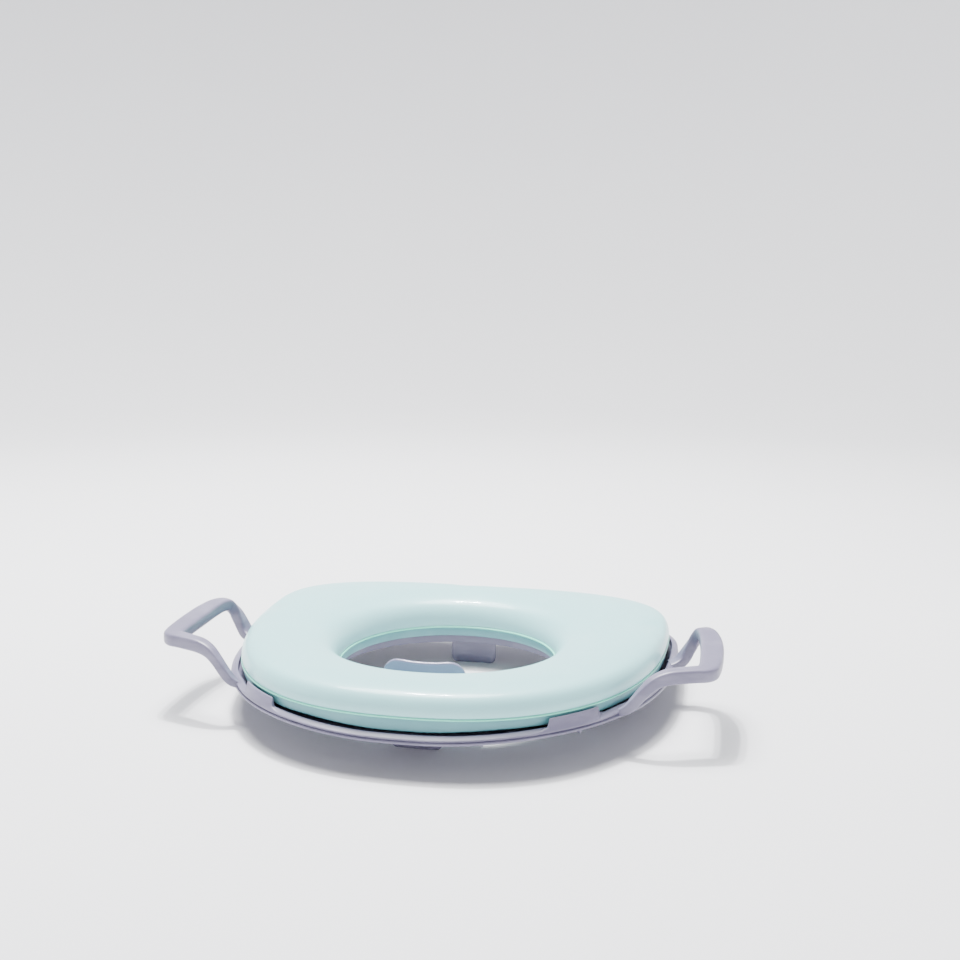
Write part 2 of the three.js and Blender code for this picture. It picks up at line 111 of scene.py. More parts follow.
def ring_changes(x, y):
    """How the rim and lip change round the ring: how far out and how much higher they lie."""
    along = np.abs(x)
    inside = ease(tab_from - tab_end, tab_from + tab_end, along)
    inside = inside * (1 - ease(tab_to - tab_end, tab_to + tab_end, along))
    return {
        "apart": rim_apart * ease(-70, -45, y) * (1 - ease(60, 110, y)),
        "lift": rim_lift * ease(10, 95, along),
        "rise": rim_rise * ease(-84, -62, y),
        "tab": tab_rise * inside * (y < 0),
        "lip": lip_lift * ease(10, 60, along),
    }


def eased(rows, cut):
    """Rounds the corners of a cross-section: each is cut back and replaced by a short curve."""
    places = []
    for edge, amount, height, *extra in rows:
        shares = extra[0] if extra else {}
        corner = np.array([amount, height, *[shares.get(name, 0) for name in SHARES]])
        places.append((edge, corner))
    result = []
    for k, (edge, corner) in enumerate(places):
        sides = []
        for other_edge, other in (places[k - 1], places[(k + 1) % len(places)]):
            length = math.hypot(*(other - corner)[:2])
            share = min(0.45, cut / length) if other_edge == edge and length else 0
            sides.append(corner + (other - corner) * share)
        if np.allclose(*sides):
            result.append((edge, *corner[:2], dict(zip(SHARES, corner[2:]))))
            continue
        for t in (0, 0.5, 1):
            point = (1 - t) ** 2 * sides[0] + 2 * t * (1 - t) * corner + t * t * sides[1]
            result.append((edge, *point[:2], dict(zip(SHARES, point[2:]))))
    return result


def section_lines(rows, turns):
    """The lines that a cross-section draws round the ring, one for each of its corners.

    A row is the edge it is measured from, millimetres from that edge, a height, and its
    shares of the changes round the ring.
    """
    lines = []
    for edge, amount, height, *extra in rows:
        shares = extra[0] if extra else {}
        seat = outline(turns, *SEAT_SHAPE)
        moved = amount + shares.get("apart", 0) * ring_changes(*seat.T)["apart"][:, None]
        flat = spots(turns, edge, moved)
        changes = ring_changes(*flat.T)
        up = height + sum(shares.get(name, 0) * changes[name] for name in SHARES[1:])
        lines.append(np.column_stack([flat, np.broadcast_to(up, len(flat))]) * MM)
    return lines


def draw(name, lines, ends="join"):
    """Lays a circle along the first line and pulls its edge out from line to line.

    The last line is joined to the first one, or both end lines are filled.
    """
    bpy.ops.object.select_all(action="DESELECT")
    bpy.ops.mesh.primitive_circle_add(vertices=len(lines[0]), radius=0.1, location=(0, 0, 0))
    piece = bpy.context.object
    piece.name = piece.data.name = name
    for vertex, place in zip(piece.data.vertices, lines[0]):
        vertex.co = place
    bpy.ops.object.mode_set(mode="EDIT")
    bpy.ops.mesh.select_all(action="SELECT")
    if ends == "fill":
        bpy.ops.mesh.edge_face_add()
        bpy.ops.mesh.select_all(action="SELECT")
    row = list(range(len(lines[0])))
    for line in [*lines[1:], *([lines[0]] if ends == "join" else [])]:
        bpy.ops.mesh.extrude_edges_move()
        mesh = bmesh.from_edit_mesh(piece.data)
        mesh.verts.ensure_lookup_table()
        mesh.verts.index_update()
        fresh = []
        for index, place in zip(row, line):
            near = mesh.verts[index]
            ends_there = (edge.other_vert(near) for edge in near.link_edges)
            far = next(vertex for vertex in ends_there if vertex.select)
            far.co = place
            fresh.append(far.index)
        row = fresh
        bmesh.update_edit_mesh(piece.data)
    if ends == "fill":
        bpy.ops.mesh.edge_face_add()
    bpy.ops.mesh.select_all(action="SELECT")
    bpy.ops.mesh.remove_doubles(threshold=1e-6)
    bpy.ops.mesh.normals_make_consistent(inside=False)
    bpy.ops.object.mode_set(mode="OBJECT")
    return piece


def join(first, others):
    """Makes one object of several."""
    bpy.ops.object.select_all(action="DESELECT")
    for piece in (first, *others):
        piece.select_set(True)
    bpy.context.view_layer.objects.active = first
    bpy.ops.object.join()
    return first


def cut(piece, tool):
    """Takes the tool's shape out of the piece, and the tool away."""
    bpy.ops.object.select_all(action="DESELECT")
    bpy.context.view_layer.objects.active = piece
    modifier = piece.modifiers.new("cut", "BOOLEAN")
    modifier.operation = "DIFFERENCE"
    modifier.solver = "EXACT"
    modifier.object = tool
    bpy.ops.object.modifier_apply(modifier=modifier.name)
    bpy.data.objects.remove(tool)
    return piece


def turned(name, profile, centre, sides=32, ends="fill"):
    """A turned shape: circles of the profile's radii and heights round a centre."""
    angle = np.linspace(0, 2 * math.pi, sides, endpoint=False)
    lines = []
    for radius, height in profile:
        x = centre[0] + radius * np.cos(angle)
        y = centre[1] + radius * np.sin(angle)
        lines.append(np.column_stack([x, y, np.full(sides, height)]) * MM)
    return draw(name, lines, ends)


def curved_wall(name, across, stations):
    """A wall that follows the hole's edge: a closed cross-section set at each station.

    Each corner of the cross-section is millimetres out from the hole and a height; a station
    is a turn and a function that may change the cross-section there.
    """
    lines = []
    for at, change in stations:
        corners = change(across) if change else across
        line = [(*spots(at, "hole", away), height) for away, height in corners]
        lines.append(np.array(line) * MM)
    return draw(name, lines, "fill")


def turn_at(x, edge="hole", amount=0.0):
    """The share of the outline's length at which the front half reaches a place across."""
    turns = np.linspace(0, 0.25, 2001)
    reach = spots(turns, edge, amount)[:, 0]
    return math.copysign(float(np.interp(abs(x), reach, turns)), x) % 1


def smooth(piece, degrees=35):
    """Smooth shading, except across edges sharper than the angle; marks how much edges bulge."""
    bpy.ops.object.select_all(action="DESELECT")
    piece.select_set(True)
    bpy.context.view_layer.objects.active = piece
    bpy.ops.object.shade_smooth_by_angle(angle=math.radians(degrees))
    mesh = piece.data
    places = np.empty(len(mesh.vertices) * 3)
    mesh.vertices.foreach_get("co", places)
    places = places.reshape(-1, 3)
    normals = np.array([vertex.normal for vertex in mesh.vertices])
    pairs = np.empty(len(mesh.edges) * 2, dtype=np.int32)
    mesh.edges.foreach_get("vertices", pairs)
    pairs = pairs.reshape(-1, 2)
    step = places[pairs[:, 0]] - places[pairs[:, 1]]
    step /= np.maximum(np.linalg.norm(step, axis=1, keepdims=True), 1e-9)
    total = np.zeros(len(places))
    count = np.zeros(len(places))
    for column, sign in ((0, 1), (1, -1)):
        bulge = sign * np.sum(normals[pairs[:, column]] * step, axis=1)
        np.add.at(total, pairs[:, column], bulge)
        np.add.at(count, pairs[:, column], 1)
    bulge = np.clip(total / np.maximum(count, 1) * 3, 0, 1)
    attribute = mesh.attributes.new("edge_bulge", "FLOAT", "POINT")
    attribute.data.foreach_set("value", bulge.astype(np.float32))


class Wire:
    """A socket in a material that can be used in sums; each sum adds its Math node."""

    def __init__(self, finish, socket):
        self.finish, self.socket = finish, socket

    def sum(self, operation, first, second):
        return self.finish.add("ShaderNodeMath", {"operation": operation}, {0: first, 1: second})

    def __add__(self, other):
        return self.sum("ADD", self, other)

    def __sub__(self, other):
        return self.sum("SUBTRACT", self, other)

    def __rsub__(self, other):
        return self.sum("SUBTRACT", other, self)

    def __mul__(self, other):
        return self.sum("MULTIPLY", self, other)

    __radd__, __rmul__ = __add__, __mul__


class Finish:
    """A material round one Principled shader; add() puts in any other node."""

    def __init__(self, name, constants):
        self.material = bpy.data.materials.new(name)
        self.material.use_nodes = True
        self.tree = self.material.node_tree
        self.shader = self.tree.nodes["Principled BSDF"]
        self.feed(self.shader, constants)
        self.place = self.add("ShaderNodeTexCoord", output="Object")

    def feed(self, node, values):
        for name, value in values.items():
            if isinstance(value, Wire):
                self.tree.links.new(value.socket, node.inputs[name])
            else:
                node.inputs[name].default_value = value

    def add(self, kind, settings=None, values=None, output=0):
        node = self.tree.nodes.new(kind)
        for name, value in (settings or {}).items():
            if name == "stops":
                for element, (position, level) in zip(node.color_ramp.elements, value):
                    element.position = position
                    element.color = (level, level, level, 1)
            else:
                setattr(node, name, value)
        self.feed(node, values or {})
        return Wire(self, node.outputs[output])

    def noise(self, scale, detail=2.0, roughness=0.5, place=None):
        values = {"Vector": place or self.place, "Scale": scale}
        values |= {"Detail": detail, "Roughness": roughness}
        return self.add("ShaderNodeTexNoise", values=values)

    def mask(self, value, low, high):
        return self.add("ShaderNodeMapRange", {"interpolation_type": "SMOOTHSTEP"},
                        {"Value": value, "From Min": low, "From Max": high})

    def mix(self, share, first, second):
        values = {0: share, 6: first, 7: second}
        return self.add("ShaderNodeMix", {"data_type": "RGBA"}, values, output=2)

    def bump(self, height, distance, strength, under=None):
        values = {"Height": height, "Distance": distance, "Strength": strength}
        if under:
            values["Normal"] = under
        return self.add("ShaderNodeBump", values=values)

    def show(self, **sockets):
        self.feed(self.shader, {name.replace("_", " "): value for name, value in sockets.items()})
        return self.material


def tint(red, green, blue):
    """A colour from its screen values."""
    levels = [value / 255 for value in (red, green, blue)]
    return (*[v / 12.92 if v < 0.04 else ((v + 0.055) / 1.055) ** 2.4 for v in levels], 1)


def moulded_plastic(name, body, light, deep, gloss, seed):
    """Satin moulded plastic: a fine spark-eroded grain, faint flow clouds, and a painted highlight
    that pales its bulging edges.
    """
    finish = Finish(name, {"IOR": 1.49, "Coat Weight": 0.12, "Coat Roughness": 0.3})
    shifted = finish.add("ShaderNodeMapping", values={
        "Vector": finish.place, "Location": (seed, 2 * seed, 0.5 * seed)})
    drawn = finish.add("ShaderNodeMapping", values={
        "Vector": shifted, "Scale": (1, 1, 4), "Rotation": (0, 0, 0.6)})
    clouds = finish.noise(9, 4, 0.55, shifted)
    flow = finish.noise(26, 3, 0.6, drawn)
    grain = finish.noise(2400, 2, 0.6, shifted)
    pits = finish.noise(900, 3, 0.7, shifted)
    specks = finish.mask(finish.noise(420, 1, 0.4, shifted), 0.68, 0.74)
    edge = finish.add("ShaderNodeAttribute", {"attribute_name": "edge_bulge"}, output="Fac")
    edge_breakup = finish.mask(finish.noise(60, 3, 0.6, shifted), 0.35, 0.7)
    # Painted highlight: bulging edges are paled in the colour below, broken up by noise, and the
    # same mask roughens them a little.
    edge_sheen_and_rub = edge * (edge_breakup * 0.5 + 0.35)
    colour = finish.mix(clouds, deep, body)
    colour = finish.mix(finish.mask(flow, 0.42, 0.68) * 0.35, colour, light)
    colour = finish.mix(specks * 0.12, colour, deep)
    colour = finish.mix(edge_sheen_and_rub * 0.55, colour, light)
    rough = gloss + clouds * 0.08 + pits * 0.1 + edge_sheen_and_rub * 0.08 - flow * 0.06
    normal = finish.bump(grain * 0.6 + pits, 0.00006, 0.32)
    return finish.show(Base_Color=colour, Roughness=rough, Normal=normal)


lilac_plastic = moulded_plastic(
    "lilac_plastic", tint(110, 106, 129), tint(145, 142, 162), tint(101, 97, 120), 0.34, 0.0)

# Each row is an edge, millimetres from it, a height, and its shares of the changes.
RIM_ROWS = [
    ("seam", -0.85, floor_top, {"apart": 1, "lift": 0.8}),
    ("seam", -0.85, rim_top - 0.7, {"apart": 1, "lift": 1, "rise": 1, "tab": 0.9}),
    ("seam", -1.0, rim_top - 0.05, {"apart": 1, "lift": 1, "rise": 1, "tab": 1}),
    ("seam", -2.1, rim_top + 0.1, {"apart": 1, "lift": 1, "rise": 1, "tab": 1}),
    ("seam", -3.4, rim_top - 0.5, {"apart": 1, "lift": 1, "rise": 1, "tab": 0.68}),
    ("seam", -4.7, rim_top - 1.15, {"apart": 1, "lift": 1, "rise": 0.92, "tab": 0.2}),
    ("seam", -5.35, rim_top - 1.6, {"apart": 1, "lift": 1, "rise": 0.84, "tab": 0.03}),
    ("seam", -5.3, rim_top - 2.0, {"apart": 1, "lift": 1, "rise": 0.74}),
    ("seam", -4.4, rim_top - 2.25, {"apart": 1, "lift": 1, "rise": 0.6}),
    ("seam", -4.4, rim_top - 2.7, {"apart": 1, "lift": 1, "rise": 0.45}),
    ("seam", -5.4, rim_top - 3.0, {"apart": 1, "lift": 1, "rise": 0.32}),
    ("seam", -5.8, rim_bottom + 0.8, {"apart": 1, "lift": 1}),
    ("seam", -5.3, rim_bottom, {"apart": 1, "lift": 1}),
    ("seam", -3.0, rim_bottom, {"apart": 1, "lift": 1}),
    ("seam", -0.8, floor_bottom, {"lift": 0.7}),
    ("seam", 5.0, floor_bottom),
    ("hole", 11.0, floor_bottom),
    ("hole", 10.6, collar_bottom + 0.4),
    ("hole", 10.2, collar_bottom),
    ("hole", 8.0, collar_bottom),
    ("hole", 7.6, collar_bottom + 0.4),
    ("hole", 7.6, floor_top - 0.9),
    ("hole", 8.5, floor_top),
    ("seam", 5.0, floor_top),
]
tab_turns = []
for wall in (tab_from, tab_to):
    for step in (-1.2, -0.75, -0.4, 0, 0.4, 0.75, 1.2):
        tab_turns.append(turn_at(wall + step, "seam", -2))
even = np.arange(COLUMNS) / COLUMNS
even = [t for t in even if all(abs(min(t, 1 - t) - s) > 0.0012 for s in tab_turns)]
columns = np.array(sorted([*even, *tab_turns, *[1 - t for t in tab_turns]]))
rim_corner_cut = 0.35
base = draw("base_moulding", section_lines(eased(RIM_ROWS, rim_corner_cut), columns))

places_round = 56
PEG_TURNS = [k / places_round for k in (0, 10, 20, 28, 36, 46)]
PAD_TURNS = [k / places_round for k in (5, 15, 24, 32, 41, 51)]
lug_near, lug_far = 11.3, 14.3


def floor_middle(at):
    """The middle of the clear floor between the lugs and the rim."""
    width = float(np.linalg.norm(outline(at, *SEAT_SHAPE) - outline(at, *HOLE_SHAPE)))
    rim_side = width - 3
    return spots(at, "hole", (lug_far + rim_side) / 2)


for at in PEG_TURNS:
    hole = turned("hole_tool", [(4.3, 12), (4.3, 21.3), (4.9, 21.9), (4.9, 30)], floor_middle(at))
    cut(base, hole)

under = []
for k in (3, 7, 12, 18, 22, 26):
    for at in (k / places_round, 1 - k / places_round):
        near, far = spots(at, "hole", 17), spots(at, "seam", 2)
        along = (far - near) / np.linalg.norm(far - near)
        rib_half = 0.8
        side = np.array([-along[1], along[0]]) * rib_half
        lines = []
        for height, slim in ((19.7, 1.0), (17.4, 0.86), (17.1, 0.6)):
            corners = [near + side * slim, far + side * slim, far - side * slim, near - side * slim]
            lines.append(np.array([(*corner, height) for corner in corners]) * MM)
        under.append(draw("rib", lines, "fill"))
for at in PAD_TURNS:
    wall = [(10.4, 19.7), (10.25, 18.1), (10.0, 17.8), (9.1, 17.8), (8.85, 18.1), (8.85, 19.7)]
    under.append(turned("socket", wall, floor_middle(at), 40, "join"))
ledge_turns = [turn_at(x, "hole", -3) for x in np.linspace(-30, 30, 31)]
ledge_across = [(-7.8, 16.2), (-7.4, 15.8), (8.4, 15.8), (8.6, 16), (8.6, 20.4), (8.4, 20.6),
                (-7.2, 20.6), (-7.8, 20.0)]
ledge = curved_wall("ledge", ledge_across, [(at, None) for at in ledge_turns])
slot_turns = [turn_at(x, "hole", -4) for x in np.linspace(-17.3, 17.3, 21)]
slot_across = [(-5.5, 10), (-2.3, 10), (-2.3, 30), (-5.5, 30)]
cut(ledge, curved_wall("slot_tool", slot_across, [(at, None) for at in slot_turns]))
join(base, [*under, ledge])
smooth(base)
base.data.materials.append(lilac_plastic)
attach(base, "base")
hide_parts("base_frame")


# Handles: one arched grip on each side, moulded with the base. The front leg peels out of the
# rim, the grip is broad and flat on top, and the back leg drops to the rim on a short foot.
HANDLE_SIDES = 32
HANDLE_RINGS = 132
handle_squareness = 0.42
# Places on the right handle's middle line, each with the handle's width and height there.
HANDLE = [
    (111.6, -63.4, 24.3, 7.4, 3.6),
    (115.2, -65.6, 24.7, 7.2, 4.6),
    (118.8, -66.6, 26.6, 6.2, 5.6),
    (123.2, -66.4, 31.4, 5.6, 6.2),
    (128.6, -64.8, 37.8, 5.8, 6.6),
    (134.0, -62.6, 42.4, 6.8, 7.4),
    (140.6, -60.0, 44.8, 8.4, 8.2),
    (150.0, -56.6, 45.6, 9.4, 8.4),
    (156.8, -54.0, 45.8, 10.0, 8.4),
    (160.6, -52.2, 45.8, 11.4, 8.4),
    (162.6, -49.6, 45.9, 12.4, 8.4),
    (163.8, -43.0, 46.0, 12.8, 8.4),
    (164.4, -28.0, 46.2, 13.6, 8.4),
    (164.2, -10.0, 46.7, 13.9, 8.4),
    (162.8, 6.0, 47.6, 13.0, 8.4),
    (160.2, 17.6, 48.2, 11.4, 8.2),
    (157.0, 24.6, 47.0, 9.6, 8.0),
    (153.4, 27.4, 42.4, 8.8, 7.6),
    (149.8, 27.8, 36.4, 8.8, 7.4),
    (146.8, 27.2, 31.2, 8.8, 7.2),
    (144.0, 25.8, 27.8, 9.4, 6.4),
    (141.0, 24.6, 26.4, 10.2, 5.4),
    (137.6, 23.4, 25.6, 10.8, 4.6),
]


def smooth_line(rows, knots, wanted):
    """Rows of numbers on a smooth curve through the given rows, which stand at the knots."""
    slopes = np.gradient(rows, knots, axis=0)
    k = np.clip(np.searchsorted(knots, wanted, side="right") - 1, 0, len(knots) - 2)
    wide = (slice(None),) + (None,) * (rows.ndim - 1)
    gap = (knots[k + 1] - knots[k])[wide]
    t = (wanted - knots[k])[wide] / gap
    return ((2 * t**3 - 3 * t**2 + 1) * rows[k] + (t**3 - 2 * t**2 + t) * gap * slopes[k]
            + (3 * t**2 - 2 * t**3) * rows[k + 1] + (t**3 - t**2) * gap * slopes[k + 1])


def fair(points, count):
    """Evenly spaced places on a smooth line through the given rows."""
    points = np.array(points, dtype=float)
    gaps = np.sqrt(np.linalg.norm(np.diff(points[:, :3], axis=0), axis=1))
    knots = np.concatenate([[0], np.cumsum(gaps)])
    line = smooth_line(points, knots, np.linspace(0, knots[-1], 40 * len(points)))
    run = np.concatenate([[0], np.cumsum(np.linalg.norm(np.diff(line[:, :3], axis=0), axis=1))])
    even_run = np.linspace(0, run[-1], count)
    return np.column_stack([np.interp(even_run, run, line[:, c]) for c in range(line.shape[1])])


for side, side_name in ((1, "right"), (-1, "left")):
    line = fair([(x * side, y, z, w, h) for x, y, z, w, h in HANDLE], HANDLE_RINGS)
    heading = np.gradient(line[:, :3], axis=0)
    heading /= np.linalg.norm(heading, axis=1, keepdims=True)
    across = np.cross(heading, (0, 0, 1))
    across /= np.linalg.norm(across, axis=1, keepdims=True)
    over = np.cross(across, heading)
    angle = (np.arange(HANDLE_SIDES) + 0.5) / HANDLE_SIDES * 2 * math.pi
    u = np.sign(np.cos(angle)) * np.abs(np.cos(angle)) ** handle_squareness / 2
    v = np.sign(np.sin(angle)) * np.abs(np.sin(angle)) ** handle_squareness / 2
    rings = []
    for place, right_way, up_way in zip(line, across, over):
        ring = place[:3] + np.outer(u * place[3], right_way) + np.outer(v * place[4], up_way)
        rings.append(ring * MM)
    handle = draw("handle_" + side_name + "_moulding", rings, "fill")
    smooth(handle)
    handle.data.materials.append(lilac_plastic)
    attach(handle, "base")
    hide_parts("handle_" + side_name)


# Splash guard: a low curved shield in the same plastic, a little glossier, and coloured paler than
# the base as painted light on its lit face. Its top edge is rounded and dips in the middle, and a
# tongue under it drops into the slot in the ledge.
GUARD_TOP = [(0, 46.4), (7.5, 46.55), (12.5, 46.95), (15.5, 47.0), (18, 46.6), (20.5, 45.4),
             (22.8, 43.2), (24.2, 40.4), (25.0, 37), (25.2, 34)]
guard_near, guard_far = -2.6, -5.2
guard_roll_depth, guard_roll_start = 1.3, 1.6
guard_bottom = 20.9
shield_x = np.array([-25.2, -25.1, -24.8, -24.4, -23.9, -23.3, *np.linspace(-22.6, 22.6, 47),
                     23.3, 23.9, 24.4, 24.8, 25.1, 25.2])


def guard_section(x):
    """The shield's cross-section at a place across: slimmer at its sides and rolled at the top."""
    far = abs(float(x))
    top = float(np.interp(far, *zip(*GUARD_TOP)))
    half = 1.3 * math.sqrt(max(1 - max(far - 23.9, 0) ** 2 / 1.75, 0.05))
    middle = (guard_near + guard_far) / 2
    roll = half * 1.12
    wall = top - guard_roll_start - guard_bottom
    points = []
    for share in (0.0, 0.3, 0.6, 0.8, 0.92):
        points.append((middle + half, guard_bottom + wall * share))
    for degrees in range(-20, 201, 20):
        a = math.radians(degrees)
        height = top - guard_roll_depth + guard_roll_depth * math.sin(a)
        points.append((middle + roll * math.cos(a), height))
    for share in (0.92, 0.8, 0.6, 0.3, 0.0):
        points.append((middle - half, guard_bottom + wall * share))
    return points


guard_stations = [(turn_at(x, "hole", -4), lambda across, x=x: guard_section(x)) for x in shield_x]
guard = curved_wall("guard_shield", None, guard_stations)
tongue_turns = [turn_at(x, "hole", -4) for x in np.linspace(-17, 17, 21)]
tongue_across = [(-2.9, 10), (-2.6, 11), (-2.6, 21.6), (-5.2, 21.6), (-5.2, 11), (-4.9, 10)]
tongue = curved_wall("guard_tongue", tongue_across, [(at, None) for at in tongue_turns])
join(guard, [tongue])
smooth(guard, 40)
# A paler copy of the lilac plastic: painted light standing in for the light the shield catches.
guard_plastic_painted_light = moulded_plastic(
    "guard_plastic_painted_light", tint(126, 125, 154), tint(156, 156, 180), tint(116, 115, 144), 0.14, 0.4)
guard.data.materials.append(guard_plastic_painted_light)
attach(guard, "guard")
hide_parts("splash_guard")


# Lugs: four rounded tongues that hang into the bowl's opening and keep the seat in its place.
# Each is a curved plate with two gussets that stiffen its outer face.
LUGS = [("front", 0, 0), ("right", 0.25, 1), ("rear", 0.5, 0), ("left", 0.75, 1)]
lug_half, lug_round = 15, 4
lug_top = 19.3
for place_name, at, sideways in LUGS:
    lines = []
    for x in (-15, -14.9, -14.4, -13.6, -12.4, *np.linspace(-11, 11, 12), 12.4, 13.6, 14.4,
              14.9, 15):
        corner = max(abs(x) - (lug_half - lug_round), 0)
        tip = lug_round - math.sqrt(max(lug_round**2 - corner * corner, 0))
        slim = 0.55 if abs(x) > 14.8 else (0.2 if abs(x) > 14 else 0)
        turns = np.linspace(at - 0.06, at + 0.06, 401) % 1
        run = spots(turns, "hole", lug_near)
        wanted = x + sideways * HOLE_SHAPE[5]
        along = run[:, 1] if sideways else run[:, 0]
        here = float(turns[np.argmin(np.abs(along - wanted))])
        near, far = lug_near + slim, lug_far - slim
        corners = [(near + 0.5, tip), (near, tip + 0.6), (near, 6), (near, 12), (near, lug_top),
                   (far, lug_top), (far, 12), (far, 6), (far, tip + 0.6), (far - 0.5, tip)]
        line = [(*spots(here, "hole", away), height) for away, height in corners]
        lines.append(np.array(line) * MM)
    lug = draw("lug_" + place_name + "_plate", lines, "fill")
    gussets = []
    for offset in (-7, 7):
        turns = np.linspace(at - 0.06, at + 0.06, 401) % 1
        run = spots(turns, "hole", lug_far)
        along = run[:, 1] if sideways else run[:, 0]
        here = float(turns[np.argmin(np.abs(along - (offset + sideways * HOLE_SHAPE[5])))])
        foot, tip_point = spots(here, "hole", 14.0), spots(here, "hole", 17.6)
        way = (tip_point - foot) / np.linalg.norm(tip_point - foot)
        half = np.array([-way[1], way[0]]) * 0.7
        lines = []
        for sign in (-1, -0.8, 0.8, 1):
            slim = 0.25 if abs(sign) == 1 else 0
            shape = [(0, 5.2 + slim), (3.4 - slim, 15.2), (3.6 - slim, lug_top), (0, lug_top)]
            line = [(*(foot + way * d + half * sign), z) for d, z in shape]
            lines.append(np.array(line) * MM)
        gussets.append(draw("gusset", lines, "fill"))
    join(lug, gussets)
    smooth(lug, 40)
    lug.data.materials.append(lilac_plastic)
    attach(lug, "base")
    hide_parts("lug_" + place_name)


# Anti-slip pads: six charcoal rubber buttons pressed into the sockets under the floor. Their
# faces carry rings of low grip ridges, and the first is copied to the other five sockets.
PAD_PROFILE = [(8.5, 19.3), (8.45, 17.2), (8.3, 16.7), (8.0, 16.3), (7.5, 16.0), (6.9, 15.85),
               (6.5, 15.9), (6.2, 16.45), (5.7, 16.45), (5.4, 15.9), (5.0, 15.8), (4.6, 15.9),
               (4.3, 16.45), (3.8, 16.45), (3.5, 15.9), (3.1, 15.8), (2.7, 15.9), (2.4, 16.45),
               (1.9, 16.45), (1.6, 15.9), (1.2, 15.8), (0.6, 15.8)]
rubber = Finish("charcoal_rubber", {"IOR": 1.5, "Specular IOR Level": 0.35})
rubber_clouds = rubber.noise(35, 4, 0.6)
rubber_grain = rubber.noise(1300, 3, 0.65)
rubber_edge_sheen = rubber.add("ShaderNodeAttribute", {"attribute_name": "edge_bulge"}, output="Fac")
rubber_dust = rubber.mask(rubber.noise(160, 4, 0.7), 0.5, 0.75)
rubber_colour = rubber.mix(rubber_clouds, tint(60, 61, 67), tint(84, 85, 92))
# Paler on bulging edges as a painted highlight, and in noisy patches of dust.
rubber_colour = rubber.mix(rubber_edge_sheen * 0.4 + rubber_dust * 0.12, rubber_colour,
                           tint(112, 112, 118))
charcoal_rubber = rubber.show(
    Base_Color=rubber_colour, Roughness=0.68 + rubber_grain * 0.16 + rubber_dust * 0.06,
    Normal=rubber.bump(rubber_grain, 0.0001, 0.5))
first_pad = turned("grip_pad_1", PAD_PROFILE, (0, 0), 48)
smooth(first_pad, 40)
first_pad.data.materials.append(charcoal_rubber)
unplaced_pad = first_pad.data.copy()
for number, at in enumerate(PAD_TURNS, 1):
    pad = first_pad
    if number > 1:
        pad = first_pad.copy()
        pad.data = unplaced_pad.copy()
        pad.name = pad.data.name = "grip_pad_" + str(number)
        bpy.context.collection.objects.link(pad)
    x, y = floor_middle(at) * MM
    pad.data.transform(Matrix.Translation((x, y, 0)))
    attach(pad, "base")
    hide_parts("pad_" + str(number))


# Ring backing: a stiff tray in plain darker mint plastic under the padding. Its outer wall is
# the lip that shows below the welt, and six split pegs under it snap into the base's floor.
lip_bottom = 24.7
inner_bottom = 21.8
BACKING_ROWS = [
    ("seam", 0.8, lip_bottom + 0.7, {"lip": 1}),
    ("seam", 0.8, 32.2),
    ("seam", 3.0, 32.2),
    ("seam", 3.0, lip_bottom + 2.2, {"lip": 1}),
    ("hole", 3.0, inner_bottom + 2.6),
    ("hole", 3.0, 27.4),
    ("hole", 0.8, 27.4),
    ("hole", 0.8, inner_bottom + 0.6),
    ("hole", 1.4, inner_bottom),
    ("hole", 12, inner_bottom + 0.6),
    ("seam", 3.4, lip_bottom + 0.3, {"lip": 1}),
    ("seam", 3.0, lip_bottom, {"lip": 1}),
    ("seam", 1.4, lip_bottom, {"lip": 1}),
]
ring_columns = np.arange(COLUMNS) / COLUMNS
lip_corner_cut = 0.3
backing = draw("ring_backing", section_lines(eased(BACKING_ROWS, lip_corner_cut), ring_columns))
PEG_PROFILE = [(2.0, 16.8), (2.6, 16.9), (2.9, 17.2), (3.9, 18.2), (3.9, 18.4), (3.6, 18.8),
               (3.6, 23.0), (3.9, 23.8), (4.8, 24.6), (4.8, 25.3)]
pegs = []
for at in PEG_TURNS:
    peg = turned("peg", PEG_PROFILE, floor_middle(at), 32)
    x, y = floor_middle(at) * MM
    bpy.ops.object.select_all(action="DESELECT")
    bpy.ops.mesh.primitive_cube_add(size=1, location=(x, y, 0.0178), scale=(0.0011, 0.02, 0.0076))
    bpy.ops.object.transform_apply(location=True, rotation=True, scale=True)
    pegs.append(cut(peg, bpy.context.object))
join(backing, pegs)
smooth(backing)
mint_plastic = moulded_plastic(
    "mint_plastic", tint(96, 154, 160), tint(130, 182, 185), tint(88, 146, 153), 0.36, 0.8)
backing.data.materials.append(mint_plastic)
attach(backing, "ring")
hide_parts("cushion_backing")


# Padding: a crowned ring of soft foam under a smooth pale mint skin, welded along the seams
# on the outer wall and in the hole. The skin is blown up by a cloth simulation, held at the
# seams, from a form that starts slightly slack.
crown = 47.7
PADDING_ROWS = [
    ("seam", 1.2, 32.2),
    ("seam", 0.4, 33.0),
    ("seam", -0.35, 34.6),
    ("seam", -0.62, 36.8),
    ("seam", -0.1, 40.2),
    ("seam", 2.0, crown - 3.75),
    ("seam", 5.6, crown - 1.35),
    ("seam", 11.0, crown - 0.4),
    ("band", 0.45, crown),
    ("hole", 18.0, crown - 0.3),
    ("hole", 12.0, crown - 1.2),
    ("hole", 7.0, crown - 3.4),
    ("hole", 3.2, crown - 7),
    ("hole", 1.2, crown - 12),
    ("hole", 0.6, 30.5),
    ("hole", 0.5, 28.6),
    ("hole", 1.2, 27.6),
]
slack = 1.0
swell_limit = 1.15
blow_frames = 20
skin_columns, skin_rows = 112, 30
skin_turns = np.arange(skin_columns) / skin_columns
skin_lines = np.array(section_lines(PADDING_ROWS, skin_turns))
gaps = np.sqrt(np.linalg.norm(np.diff(skin_lines, axis=0), axis=2).mean(axis=1))
knots = np.concatenate([[0], np.cumsum(gaps)])
